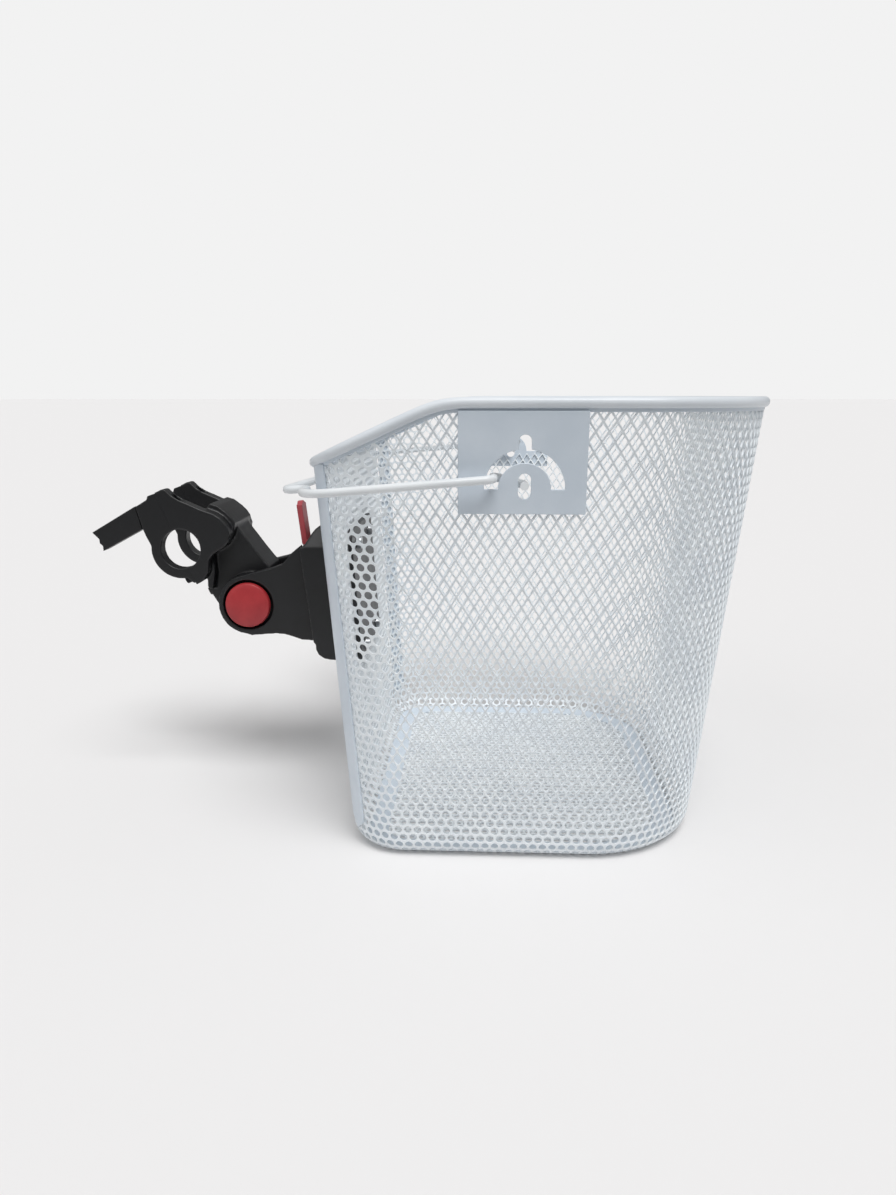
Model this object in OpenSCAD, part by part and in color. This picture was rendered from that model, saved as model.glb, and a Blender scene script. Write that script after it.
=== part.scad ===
// Bicycle front basket with a bail handle and a quick-release handlebar bracket.
// Millimetres. Origin at the bottom centre of the basket floor.
// +X is the riding direction, +Z is up, -Y is the bicycle's right side.

/* [Basket] */
// Height of the top of the front rim above the floor
basket_h = 252; // [200:1:320]
// Front face of the basket at the rim
front_top_x = 123.6; // [90:0.1:170]
// Front face of the basket at the floor
front_low_x = 99.5; // [70:0.1:150]
// Rear face of the basket at the lowered rear rim
rear_top_x = -113; // [-170:0.1:-90]
// Rear face of the basket at the floor
rear_low_x = -99; // [-150:0.1:-70]
// Half the basket's width at the front rim
half_w_top = 156.9; // [120:0.1:200]
// Half the basket's width at the floor
half_w_low = 127; // [90:0.1:180]
// Where the rim starts to drop towards the rear
knee_x = -46; // [-60:1:0]
// Height of the rim wire's centre along the back
rear_rim_z = 218.6; // [180:1:245]
// Radius of the rim wire
rim_r = 2.75; // [2:0.05:4]
// Thickness of the mesh sheet
mesh_t = 1.2; // [0.8:0.1:2]
// Corner radius of the front corners at the rim
front_r_top = 80; // [40:1:110]
// Corner radius of the front corners at the floor
front_r_low = 66; // [30:1:90]
// Corner radius of the rear corners at the rim
rear_r_top = 38; // [20:1:60]
// Corner radius of the rear corners at the floor
rear_r_low = 32; // [15:1:50]
// Radius between walls and floor
floor_r = 10; // [4:1:20]

/* [Bail handle] */
// Radius of the handle wire
bail_r = 2.1; // [1.5:0.1:3.5]
// X of the handle pivot
bail_x = -5.6; // [-20:0.1:20]
// Height of the centre of the arc slots
slot_z = 208.7; // [190:0.1:230]
// Inner radius of the arc slots
slot_in_r = 12.7; // [10:0.1:16]
// Outer radius of the arc slots
slot_out_r = 19.4; // [16:0.1:24]
// Height of the handle pivot
bail_z = 210.2; // [200:0.1:220]
// Distance from the pivot to where the wire passes through the arc slot
bail_crank = 15.4; // [12:0.1:20]
// Half the width over the handle's arms
bail_y = 163; // [160:0.5:190]

/* [Handlebar clamp] */
// Radius of the handlebar bore
bar_r = 12.7; // [11:0.05:16]
// X of the handlebar axis
bar_x = -218.5; // [-240:0.1:-200]
// Height of the handlebar axis
bar_z = 156.8; // [140:0.1:180]
// Outer radius of the clamp caps around the bore
cap_r = 19; // [16:0.1:24]
// Inner face of each clamp collar
collar_y0 = 20; // [14:0.5:30]
// Outer face of each clamp collar
collar_y1 = 29; // [24:0.5:40]

/* [Tilt head] */
// X of the tilt pivot
pivot_x = -177.2; // [-190:0.1:-160]
// Height of the tilt pivot
pivot_z = 120.5; // [100:0.1:140]
// Radius of the cheeks round the pivot
cheek_r = 19.4; // [17:0.1:24]
// Outer face of the cheeks
cheek_y1 = 27; // [24:0.5:34]
// Inner face of the cheeks
cheek_y0 = 20; // [16:0.5:24]
// Radius of the red buttons
button_r = 14.5; // [10:0.1:16]
// Radius of the recess the buttons sit in
recess_r = 16.1; // [12:0.1:18]
// Radius of the tilt axle
axle_r = 5; // [4:0.1:8]

/* [Quick release] */
// Lean of the sliding face, degrees from vertical
lean = 6.53; // [0:0.01:12]
// X of the middle of the sliding face
seam_x = -137.3; // [-150:0.1:-120]
// Height of the middle of the sliding face
seam_z = 125; // [100:1:150]
// Half the width of the receiver block
receiver_y = 36; // [28:1:50]

/* [Hidden] */
$fn = 48;
eps = 0.01;
rim_z = basket_h - rim_r;
flare = (half_w_top - half_w_low) / rim_z;
side_tilt = atan(flare);
drop_tilt = atan((rim_z - rear_rim_z) / (knee_x - rear_top_x));
drop_len = (knee_x - rear_top_x) / cos(drop_tilt);
half_w_rear = half_w_low + flare * rear_rim_z;
// Toe-in of the rim's side runs over the dropped rear part
toe = atan((half_w_top - half_w_rear) / drop_len);
corner_n = 9;
split_ang = atan2(0.929, -0.371);
split_dir = [-0.371, 0.929];
bail_ang = 14.3;
bail_slope = 4.9;

// ---------------------------------------------------------------- helpers

// Flat outline in X and Z, pushed out along Y from y0 to y1
module xz(y0, y1) {
    translate([0, y1, 0])
        rotate([90, 0, 0])
            linear_extrude(y1 - y0)
                children();
}

// Frame of the sliding face: local x points to the basket, local z up the face
module slant() {
    translate([seam_x, 0, seam_z])
        rotate([0, -lean, 0])
            children();
}

// Direction of a path at point i
function path_dir(p, i, closed) =
    let (n = len(p),
         a = closed ? p[(i + n - 1) % n] : p[max(i - 1, 0)],
         c = closed ? p[(i + 1) % n] : p[min(i + 1, n - 1)],
         u = (p[i] - a) / max(norm(p[i] - a), 1e-9),
         w = (c - p[i]) / max(norm(c - p[i]), 1e-9))
    (u + w) / norm(u + w);

// Ring of a round wire about point i of a path that never runs straight up
function wire_ring(p, i, r, sides, closed) =
    let (t = path_dir(p, i, closed),
         h = cross(t, [0, 0, 1]) / norm(cross(t, [0, 0, 1])),
         v = cross(h, t))
    [for (k = [0:sides - 1]) p[i] + h * r * cos(360 * k / sides) + v * r * sin(360 * k / sides)];

// Round wire swept along a path, with flat ends if it is open
module wire(p, r, sides = 16, closed = false) {
    n = len(p);
    last = closed ? n - 1 : n - 2;
    points = [for (i = [0:n - 1]) each wire_ring(p, i, r, sides, closed)];
    faces = concat(
        [for (i = [0:last], k = [0:sides - 1])
            [i * sides + k, i * sides + (k + 1) % sides, ((i + 1) % n) * sides + (k + 1) % sides]],
        [for (i = [0:last], k = [0:sides - 1])
            [i * sides + k, ((i + 1) % n) * sides + (k + 1) % sides, ((i + 1) % n) * sides + k]],
        closed ? [] : [[for (k = [sides - 1:-1:0]) k]],
        closed ? [] : [[for (k = [0:sides - 1]) (n - 1) * sides + k]]
    );
    polyhedron(points = points, faces = faces, convexity = 8);
}

// ---------------------------------------------------------------- basket walls

// Corner arc points in plan: centre c, radius r, from angle a0 over da
function arc_pts(c, r, a0, da, n) =
    [for (i = [0:n]) [c[0] + r * cos(a0 + da * i / n), c[1] + r * sin(a0 + da * i / n)]];

// Right half of the rim line from front centre to rear centre, as 3D points
function rim_half() = concat(
    [[front_top_x, 0, rim_z]],
    [for (p = arc_pts([front_top_x - front_r_top, -(half_w_top - front_r_top)],
                      front_r_top, 0, -90, corner_n)) [p[0], p[1], rim_z]],
    [[knee_x, -half_w_top, rim_z]],
    [for (p = rear_arc()) [knee_x - p[0] * cos(drop_tilt), p[1], rim_z - p[0] * sin(drop_tilt)]],
    [[rear_top_x, 0, rear_rim_z]]
);

// Rear corner of the rim in the dropped plane: distance down the plane, then Y
function rear_c() = [
    drop_len - rear_r_top,
    -(half_w_top - (drop_len - rear_r_top) * tan(toe) - rear_r_top / cos(toe))
];
function rear_arc() =
    [for (i = [0:corner_n])
        [rear_c()[0] + rear_r_top * sin(toe + (90 - toe) * i / corner_n),
         rear_c()[1] - rear_r_top * cos(toe + (90 - toe) * i / corner_n)]];

// The floor outline with the same count of points as the rim line
function floor_half() = concat(
    [[front_low_x, 0]],
    arc_pts([front_low_x - front_r_low, -(half_w_low - front_r_low)],
            front_r_low, 0, -90, corner_n),
    [[knee_x, -half_w_low]],
    arc_pts([rear_low_x + rear_r_low, -(half_w_low - rear_r_low)],
            rear_r_low, -90, -90, corner_n),
    [[rear_low_x, 0]]
);

// Outward plan normals, one for each point
function normal_half() = concat(
    [[1, 0]],
    [for (i = [0:corner_n]) [cos(-90 * i / corner_n), sin(-90 * i / corner_n)]],
    [[0, -1]],
    [for (i = [0:corner_n]) [cos(-90 - 90 * i / corner_n), sin(-90 - 90 * i / corner_n)]],
    [[-1, 0]]
);

half_n = len(floor_half());
// Full loop: right half, then the left half mirrored without the shared ends
function loop(h) = concat(
    h,
    [for (i = [len(h) - 2:-1:1])
        len(h[i]) == 3 ? [h[i][0], -h[i][1], h[i][2]] : [h[i][0], -h[i][1]]]
);
rim_loop = loop(rim_half());
floor_loop = loop(floor_half());
normal_loop = loop(normal_half());
loop_n = len(floor_loop);

// A point on the wall: column i, height share v, moved outward by off
function wall_pt(i, v, off) =
    let (t = rim_loop[i], b = floor_loop[i], n = normal_loop[i])
    [b[0] + (t[0] - b[0]) * v + n[0] * off,
     b[1] + (t[1] - b[1]) * v + n[1] * off,
     t[2] * v];

// A point on the rounding between floor and wall: a is 0 at the floor, 90 at the wall
function round_pt(i, a, off) =
    let (b = floor_loop[i], t = rim_loop[i], n = normal_loop[i],
         v = floor_r * (1 - cos(a)) / t[2], k = floor_r * (1 - sin(a)))
    [b[0] + (t[0] - b[0]) * v - n[0] * k + n[0] * off * sin(a),
     b[1] + (t[1] - b[1]) * v - n[1] * k + n[1] * off * sin(a),
     floor_r * (1 - cos(a)) - off * cos(a)];

// Share of the column's height where the mesh ends under the rim wire
function top_v(i) = 1 - 3.9 / rim_loop[i][2];

round_a = [0, 30, 60, 90];
function ring(k, off) =
    k < 4 ? [for (i = [0:loop_n - 1]) round_pt(i, round_a[k], off)]
          : [for (i = [0:loop_n - 1]) wall_pt(i, top_v(i), off)];

// Closed thin shell through five outer and five inner rings
module shell() {
    outer = [for (k = [0:4]) each ring(k, mesh_t / 2)];
    inner = [for (k = [0:4]) each ring(k, -mesh_t / 2)];
    n = loop_n;
    m = 5 * n;
    faces = concat(
        [for (k = [0:3], i = [0:n - 1]) [k * n + i, (k + 1) * n + i, (k + 1) * n + (i + 1) % n]],
        [for (k = [0:3], i = [0:n - 1]) [k * n + i, (k + 1) * n + (i + 1) % n, k * n + (i + 1) % n]],
        [for (k = [0:3], i = [0:n - 1])
            [m + k * n + i, m + (k + 1) * n + (i + 1) % n, m + (k + 1) * n + i]],
        [for (k = [0:3], i = [0:n - 1])
            [m + k * n + i, m + k * n + (i + 1) % n, m + (k + 1) * n + (i + 1) % n]],
        [for (i = [0:n - 1]) [4 * n + i, m + 4 * n + i, m + 4 * n + (i + 1) % n]],
        [for (i = [0:n - 1]) [4 * n + i, m + 4 * n + (i + 1) % n, 4 * n + (i + 1) % n]],
        [[for (i = [0:n - 1]) i]],
        [[for (i = [n - 1:-1:0]) m + i]]
    );
    translate([0, 0, mesh_t / 2])
        polyhedron(points = concat(outer, inner), faces = faces, convexity = 6);
}

// Frame of a side plate: origin at the arc slot's centre on the mesh's outer face
module side_frame(s) {
    scale_y = s;
    y0 = half_w_low + flare * slot_z;
    mirror([0, scale_y > 0 ? 1 : 0, 0])
        translate([bail_x, -y0, slot_z])
            rotate([90 + side_tilt, 0, 0])
                children();
}

module mesh_basket() {
    color("#DDE3E8")
        difference() {
            shell();
            for (s = [-1, 1])
                side_frame(s)
                    translate([-27, -6, -6])
                        cube([52, 36, 12]);
            // pierced for the receiver's screws
            for (p = screw_pos)
                translate([-118, p[0], p[1]])
                    rotate([0, 90, 0])
                        cylinder(r = 2.1, h = 30, $fn = 16);
        }
}

module rim_wire() {
    color("#E6E8E8")
        wire(rim_loop, rim_r, 12, true);
}

// Plain plate under the rim with the arc slot, its notch and the small pivot slot
module side_plate(s) {
    color("#C9D1D8")
        side_frame(s)
            translate([0, 0, mesh_t / 2 + 0.03])
                linear_extrude(1.2)
                    difference() {
                        translate([-31.9, -12.2])
                            square([61.5, 49.4]);
                        difference() {
                            union() {
                                intersection() {
                                    circle(r = slot_out_r, $fn = 96);
                                    translate([-30, 0])
                                        square([60, 30]);
                                }
                                translate([-3, 10])
                                    square([6, 13.2]);
                                translate([0, 23.2])
                                    circle(r = 3, $fn = 32);
                            }
                            circle(r = slot_in_r, $fn = 96);
                        }
                        translate([0, 4.6])
                            circle(r = 3.1, $fn = 32);
                        translate([0, -1.7])
                            circle(r = 3.1, $fn = 32);
                        translate([-3.1, -1.7])
                            square([6.2, 6.3]);
                    }
}

module side_plate_right() {
    side_plate(-1);
}

module side_plate_left() {
    side_plate(1);
}

// Plain strip welded over the mesh joint down a rear corner
strip_i = [half_n - 5, half_n - 4, half_n - 3];
strip_v = [0.07, 0.3, 0.55, 0.8, 0.98];
module strip_half() {
    lo = [for (v = strip_v, i = strip_i) wall_pt(i, v, mesh_t / 2 + 0.1)];
    hi = [for (v = strip_v, i = strip_i) wall_pt(i, v, mesh_t / 2 + 0.9)];
    m = 15;
    translate([0, 0, mesh_t / 2])
        polyhedron(points = concat(lo, hi), convexity = 4, faces = concat(
            [for (k = [0:3], i = [0:1]) [k * 3 + i, k * 3 + i + 1, (k + 1) * 3 + i + 1]],
            [for (k = [0:3], i = [0:1]) [k * 3 + i, (k + 1) * 3 + i + 1, (k + 1) * 3 + i]],
            [for (k = [0:3], i = [0:1]) [m + k * 3 + i, m + (k + 1) * 3 + i + 1, m + k * 3 + i + 1]],
            [for (k = [0:3], i = [0:1]) [m + k * 3 + i, m + (k + 1) * 3 + i, m + (k + 1) * 3 + i + 1]],
            [for (i = [0:1]) [i, m + i, m + i + 1]],
            [for (i = [0:1]) [i, m + i + 1, i + 1]],
            [for (i = [12:13]) [i, m + i + 1, m + i]],
            [for (i = [12:13]) [i, i + 1, m + i + 1]],
            [for (k = [0:3]) [k * 3, (k + 1) * 3, m + (k + 1) * 3]],
            [for (k = [0:3]) [k * 3, m + (k + 1) * 3, m + k * 3]],
            [for (k = [0:3]) [k * 3 + 2, m + (k + 1) * 3 + 2, (k + 1) * 3 + 2]],
            [for (k = [0:3]) [k * 3 + 2, m + k * 3 + 2, m + (k + 1) * 3 + 2]]
        ));
}

module seam_strip_right() {
    color("#DDE3E8")
        strip_half();
}

module seam_strip_left() {
    color("#DDE3E8")
        mirror([0, 1, 0])
            strip_half();
}

// ---------------------------------------------------------------- receiver on the basket

// X of the outer face of the rear wall at height z
function rear_x(z) = rear_low_x + (rear_top_x - rear_low_x) * (z - mesh_t / 2) / rear_rim_z - mesh_t / 2;

screw_pos = [[-27, 96], [27, 96], [-27, 162], [27, 162]];

module receiver_outline() {
    polygon([
        [rear_x(86.6) - 0.05, 86.6], [-120.2, 86.6], [-126.5, 87.2], [-130.4, 89.7],
        [-132.4, 93.4], [-132.6, 97.6], [-133.9, 97.7], [-141.0, 159.2],
        [-138.2, 160.4], [-133.9, 167.5], [-131.8, 170.3], [-128.7, 172.3],
        [rear_x(172.3) - 0.05, 172.3]
    ]);
}

module receiver_block() {
    color("#25272B")
        difference() {
            xz(-receiver_y, receiver_y)
                receiver_outline();
            slant() {
                translate([-10, -11.35, -60])
                    cube([15, 22.7, 82.4]);
                translate([4.65, -18.4, -60])
                    cube([4.75, 36.8, 82.4]);
                xz(-7.8, 7.8)
                    polygon([[-8, 22.3], [9.2, 22.3], [9.2, -15], [25, -15],
                             [18.5, 22], [18.5, 31], [8, 33], [3.5, 37],
                             [3.5, 60], [-8, 60]]);
                translate([12.5, 13, 24])
                    rotate([90, 0, 0])
                        cylinder(r = 1.5, h = 26);
            }
            for (p = screw_pos)
                translate([-118, p[0], p[1]])
                    rotate([0, 90, 0])
                        cylinder(r = 1.9, h = 30);
            // chamfers along the top of both sides
            for (s = [-1, 1])
                translate([0, s * receiver_y, 159.5])
                    rotate([s * 32, 0, 0])
                        translate([-150, s > 0 ? 0 : -20, -6])
                            cube([60, 20, 40]);
        }
}

// Backing plate inside the basket, held by four screws through the mesh
module inner_plate() {
    color("#25272B")
        difference() {
            hull()
                for (y = [-38, 38], z = [96, 164])
                    translate([rear_x(z) + mesh_t + 0.05, y, z])
                        rotate([0, 90 - atan((rear_low_x - rear_top_x) / rear_rim_z), 0])
                            cylinder(r = 8, h = 3);
            for (p = screw_pos)
                translate([-118, p[0], p[1]])
                    rotate([0, 90, 0])
                        cylinder(r = 2.1, h = 30);
        }
}

module plate_screws() {
    color("#C8CACC")
        for (p = screw_pos) {
            translate([-116.5, p[0], p[1]])
                rotate([0, 90, 0])
                    cylinder(r = 1.9, h = rear_x(p[1]) + 116.5 + 5.2);
            translate([rear_x(p[1]) + mesh_t + 3.5, p[0], p[1]])
                rotate([0, 90, 0])
                    difference() {
                        cylinder(r = 4, h = 2.6);
                        translate([0, 0, 1.4])
                            cylinder(r = 1.6, h = 2, $fn = 6);
                    }
        }
}

module latch_pin() {
    color("#B8BABC")
        slant()
            translate([12.5, 12, 24])
                rotate([90, 0, 0])
                    cylinder(r = 1.5, h = 24);
}

// Torsion spring on the latch pin, beside the lever
module latch_spring() {
    color("#B8BABC")
        slant() {
            for (y = [3.3, 4.6, 5.9])
                translate([12.5, y, 24])
                    rotate([90, 0, 0])
                        rotate_extrude()
                            translate([2.5, 0])
                                circle(r = 0.6, $fn = 16);
            translate([12.5 + 2.5, 5.9, 24])
                cylinder(r = 0.6, h = 7.5, $fn = 16);
            translate([12.5 + 2.5, 5.9, 24])
                rotate([90, 0, 0])
                    cylinder(r = 0.6, h = 2.6, $fn = 16);
        }
}

// Release tab, crank and toothed tail in one piece
module latch_lever() {
    color("#A04A50")
        slant()
            difference() {
                union() {
                    xz(-7, 7) {
                        translate([-3.9, 33])
                            square([3.6, 25.8]);
                        polygon([[-3.9, 33], [-0.3, 34.9], [8.6, 29.8], [14.5, 27.4],
                                 [12.5, 20.4], [7.5, 25.4], [-2.4, 31.2]]);
                    }
                    translate([-0.3, 0, 53.8])
                        rotate([0, -90, 0])
                            cylinder(r = 7, h = 3.6);
                    xz(-7, 2.4) {
                        translate([12.5, 24])
                            circle(r = 4);
                        polygon([[9.7, 21], [14.2, 21], [13.4, -13], [9.7, -13],
                                 [7.9, -12], [9.7, 7]]);
                    }
                }
                translate([12.5, 10, 24])
                    rotate([90, 0, 0])
                        cylinder(r = 1.56, h = 20);
                translate([6, 2.4, 17])
                    cube([14, 8, 14]);
            }
}

// ---------------------------------------------------------------- bail handle

in_y = 146;
tip_y = 155.2;
cross_x = bail_x - bail_crank * cos(bail_ang);
cross_z = bail_z + bail_crank * sin(bail_ang);

// Point of the handle's main plane: distance down the arms to the rear, then Y
function bail_pt(d, y) = [cross_x - d * cos(bail_slope), y, cross_z - d * sin(bail_slope)];

// Round bend of radius r at corner b of a flat path that comes from a and goes on to c
function bend(a, b, c, r) =
    let (u = (a - b) / norm(a - b), w = (c - b) / norm(c - b),
         half = acos(u * w) / 2,
         o = b + (u + w) / norm(u + w) * r / sin(half),
         p = b + u * r / tan(half) - o,
         turn = (180 - 2 * half) * (cross(u, w) > 0 ? -1 : 1),
         n = ceil(abs(turn) / 14))
    [for (i = [0:n])
        [o[0] + p[0] * cos(turn * i / n) - p[1] * sin(turn * i / n),
         o[1] + p[0] * sin(turn * i / n) + p[1] * cos(turn * i / n)]];

// Corners of the right half in the handle's plane, from the arm to the grip's middle
bail_route = [[2, -bail_y], [94.5, -bail_y], [94.5, -128], [108.5, -126], [101.2, -79], [101.2, 0]];
bail_bends = [0, 20, 7, 6.5, 15];

function bail_half() = concat(
    [[bail_x, -tip_y, bail_z], [bail_x, -in_y - 1.6, bail_z]],
    [[bail_x - 1.6, -in_y, bail_z + 0.4], [cross_x + 1.6, -in_y, cross_z - 0.4]],
    [[cross_x, -in_y - 1.6, cross_z], [cross_x, -bail_y + 2, cross_z]],
    [bail_pt(0.6, -bail_y + 0.6), bail_pt(2, -bail_y)],
    [for (k = [1:4])
        each [for (q = bend(bail_route[k - 1], bail_route[k], bail_route[k + 1], bail_bends[k]))
            bail_pt(q[0], q[1])]],
    [bail_pt(bail_route[5][0], 0)]
);

module bail_handle() {
    h = bail_half();
    color("#E6E8E8") {
        wire(concat(h, [for (i = [len(h) - 2:-1:0]) [h[i][0], -h[i][1], h[i][2]]]), bail_r, 16);
        // journals that turn in the small slots of the side plates
        for (s = [-1, 1])
            translate([bail_x, s * (in_y + tip_y + 1.6) / 2, bail_z])
                rotate([90, 0, 0])
                    cylinder(r = bail_r + 0.15, h = tip_y - in_y - 1.6, center = true);
    }
}

// ---------------------------------------------------------------- tilt head

module cheek_outline() {
    polygon([
        [-178.6, 101.0], [-175.9, 100.1], [-168.5, 100.8], [-159.9, 101.5],
        [-154.4, 101.2], [-148.3, 99.4], [-142.9, 97.4], [-134.65, 97.1],
        [-141.9, 159.4], [-144.9, 157.0], [-148.5, 153.9], [-151.4, 150.1],
        [-154.9, 146.9], [-161.9, 144.4], [-168.4, 142.8], [-174.5, 141.4],
        [-180.0, 139.6]
    ]);
    translate([pivot_x, pivot_z])
        circle(r = cheek_r, $fn = 96);
}

module head_housing() {
    color("#25272B")
        difference() {
            union() {
                xz(-cheek_y1, -cheek_y0)
                    cheek_outline();
                xz(cheek_y0, cheek_y1)
                    cheek_outline();
                xz(-cheek_y0 - eps, cheek_y0 + eps)
                    difference() {
                        polygon([
                            [-168.5, 100.8], [-159.9, 101.5], [-154.4, 101.2], [-148.3, 99.4],
                            [-142.9, 97.4], [-134.65, 97.1], [-140.6, 148.5], [-147.5, 145],
                            [-152, 139], [-170, 118]
                        ]);
                        translate([pivot_x, pivot_z])
                            circle(r = cheek_r, $fn = 96);
                        intersection() {
                            translate([pivot_x, pivot_z])
                                circle(r = 28.6, $fn = 96);
                            translate([-180, 122])
                                square([40, 40]);
                        }
                    }
                // sliding tongue with a T section
                slant() {
                    translate([-2, -11, -22])
                        cube([7.5, 22, 44]);
                    difference() {
                        translate([5, -18, -22])
                            cube([4, 36, 44]);
                        xz(-8, 3.4)
                            polygon([[7.5, -13.6], [9.1, -13.6], [9.1, 9.5], [8.9, 9.5]]);
                    }
                }
            }
            translate([pivot_x, 60, pivot_z])
                rotate([90, 0, 0])
                    cylinder(r = axle_r, h = 120);
            for (s = [-1, 1])
                translate([pivot_x, s * 25.8, pivot_z])
                    rotate([90, 0, 0])
                        cylinder(r = recess_r, h = 7.2, center = true, $fn = 96);
        }
}

module tilt_axle() {
    color("#B8BABC")
        translate([pivot_x, 22.2, pivot_z])
            rotate([90, 0, 0])
                difference() {
                    cylinder(r = axle_r, h = 44.4);
                    translate([0, 0, -1])
                        cylinder(r = 3.06, h = 13);
                    translate([0, 0, 32.4])
                        cylinder(r = 3.06, h = 13);
                }
}

module thrust_washer(s) {
    color("#B8BABC")
        translate([pivot_x, s * 19.3, pivot_z])
            rotate([90, 0, 0])
                difference() {
                    cylinder(r = 9.5, h = 1.2, center = true);
                    cylinder(r = axle_r, h = 3, center = true);
                }
}

module thrust_washer_right() {
    thrust_washer(-1);
}

module thrust_washer_left() {
    thrust_washer(1);
}

// Domed push button with a guide stem, drawn on the right side
module button() {
    color("#9E2F33")
        translate([pivot_x, 0, pivot_z])
            rotate([90, 0, 0])
                rotate_extrude($fn = 96)
                    polygon(concat(
                        [[0, 17.6], [3, 17.6], [3, 25.2], [5.8, 25.2], [5.8, 28.0],
                         [9.4, 28.0], [9.4, 25.2], [button_r, 25.2], [button_r, 28.6]],
                        [for (i = [1:5]) [button_r * cos(i * 18), 28.6 + 2.4 * sin(i * 18)]]
                    ));
}

module button_right() {
    button();
}

module button_left() {
    mirror([0, 1, 0])
        button();
}

// Return spring between the recess floor and the button
module button_spring() {
    color("#B8BABC")
        translate([pivot_x, 0, pivot_z])
            rotate([90, 0, 0])
                for (y = [22.85, 23.75, 24.65])
                    translate([0, 0, y])
                        rotate_extrude()
                            translate([7.5, 0])
                                circle(r = 0.6, $fn = 16);
}

module button_spring_right() {
    button_spring();
}

module button_spring_left() {
    mirror([0, 1, 0])
        button_spring();
}

// ---------------------------------------------------------------- handlebar clamp

// Point at distance d along the clamp's split line from the bar's axis
function on_split(d) = [bar_x + split_dir[0] * d, bar_z + split_dir[1] * d];

bolt_upper = 30;
bolt_lower = -19.2;

// Local frame on the split line: local z runs along the bolts, away from the cap
module bolt_frame(d, y) {
    p = on_split(d);
    translate([p[0], y, p[1]])
        rotate([0, 90 - 21.8, 0])
            children();
}

module collar_outline() {
    polygon([
        on_split(38.5), [-228.8, 194.6], [-226.5, 195.0], [-222.2, 190.8],
        [-217.3, 187.9], [-211.4, 185.4], [-204.7, 182.4], [-196.5, 179.6],
        [-191.9, 176.6], [-188.3, 172.4], [-186.5, 167.0], [-187.1, 161.8],
        [-190.8, 157.9], [-197.4, 154.0], [-200.5, 150.0], [-201.5, 142.0],
        [-204.5, 136.8], [-207.6, 134.8], on_split(-24.6)
    ]);
}

module bolt_holes(s) {
    y = s * (collar_y0 + collar_y1) / 2;
    bolt_frame(bolt_upper, y)
        translate([0, 0, -20])
            cylinder(r = 2, h = 40);
    bolt_frame(bolt_lower, y)
        translate([0, 0, -12])
            cylinder(r = 1.75, h = 24);
}

// Seats for the nuts, cut into the fixed collars
module nut_seats(s) {
    y = s * (collar_y0 + collar_y1) / 2;
    bolt_frame(bolt_upper, y)
        translate([0, 0, 5])
            cylinder(r = 4.1, h = 20, $fn = 6);
    bolt_frame(bolt_lower, y)
        translate([0, 0, 4.2])
            cylinder(r = 3.7, h = 3, $fn = 6);
}

module link_arm() {
    color("#25272B")
        difference() {
            union() {
                for (s = [-1, 1])
                    xz(s < 0 ? -collar_y1 : collar_y0 - eps, s < 0 ? -collar_y0 + eps : collar_y1)
                        collar_outline();
                // bridge between the two collars
                xz(-collar_y0, collar_y0)
                    polygon([
                        [-203.5, 181.5], [-201.0, 185.0], [-196.0, 183.6], [-190.8, 179.6],
                        [-187.3, 176.1], [-185.1, 172.4], [-186.8, 164.5], [-191.0, 158.5],
                        [-198.0, 154.0], [-203.0, 158.0]
                    ]);
                // narrower arm down to the hub
                xz(-14, 14)
                    polygon([
                        [-203.0, 170.0], [-186.0, 172.0], [-184.7, 168.4], [-178.9, 160.6],
                        [-173.7, 153.4], [-168.6, 146.8], [-165.4, 143.0], [-163.5, 132.5],
                        [-177.2, 118.0], [-190.8, 107.8], [-199.5, 116.4], [-206.6, 128.0],
                        [-202.5, 141.0], [-201.0, 150.0]
                    ]);
                // foot that ties the arm to the lower lugs
                xz(-collar_y0 - 1, collar_y0 + 1)
                    polygon([
                        [-204.6, 136.6], [-205.0, 130.5], [-201.5, 129.0], [-199.6, 140.0],
                        [-200.0, 152.0], [-203.5, 150.0]
                    ]);
                translate([pivot_x, 18.6, pivot_z])
                    rotate([90, 0, 0])
                        cylinder(r = 18.9, h = 37.2, $fn = 96);
            }
            translate([bar_x, 50, bar_z])
                rotate([90, 0, 0])
                    cylinder(r = bar_r, h = 100, $fn = 96);
            translate([pivot_x, 50, pivot_z])
                rotate([90, 0, 0])
                    cylinder(r = axle_r + 0.06, h = 100);
            for (s = [-1, 1]) {
                bolt_holes(s);
                nut_seats(s);
            }
        }
}

// Outline of a clamp cap: upper flange, half ring and lower lug, 0.3 short of the split
function on_cap(d) = on_split(d) + [-0.929, -0.371] * 0.3;
cap_outline = concat(
    [on_cap(38.2), [-237.8, 190.4], [-238.3, 188.2], [-245.9, 183.6]],
    [[-242.0, 169.4], [-240.3, 164.9]],
    arc_pts([bar_x, bar_z], cap_r, 174, 106, 14),
    [[-213.2, 136.4], on_cap(-24.4)]
);

module cap_side(s) {
    color("#25272B")
        difference() {
            xz(s < 0 ? -collar_y1 : collar_y0, s < 0 ? -collar_y0 : collar_y1)
                polygon(cap_outline);
            translate([bar_x, 50, bar_z])
                rotate([90, 0, 0])
                    cylinder(r = bar_r, h = 100, $fn = 96);
            bolt_holes(s);
            bolt_frame(bolt_upper, s * 24.5)
                translate([0, 0, -24])
                    cylinder(r = 3.6, h = 12.5);
            bolt_frame(bolt_lower, s * 24.5)
                translate([0, 0, -20])
                    cylinder(r = 3.1, h = 16.4);
            if (s < 0)
                translate([-247, -24.5, 170.53])
                    rotate([0, 74.6, 0])
                        cylinder(r = 1.52, h = 9);
        }
}

module cap_right() {
    cap_side(-1);
}

module cap_left() {
    cap_side(1);
}

module socket_bolt(r, head_r, head_h, len) {
    cylinder(r = r, h = len);
    translate([0, 0, -head_h])
        difference() {
            cylinder(r = head_r, h = head_h);
            translate([0, 0, -1])
                cylinder(r = r * 0.6, h = 2.8, $fn = 6);
        }
}

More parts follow.
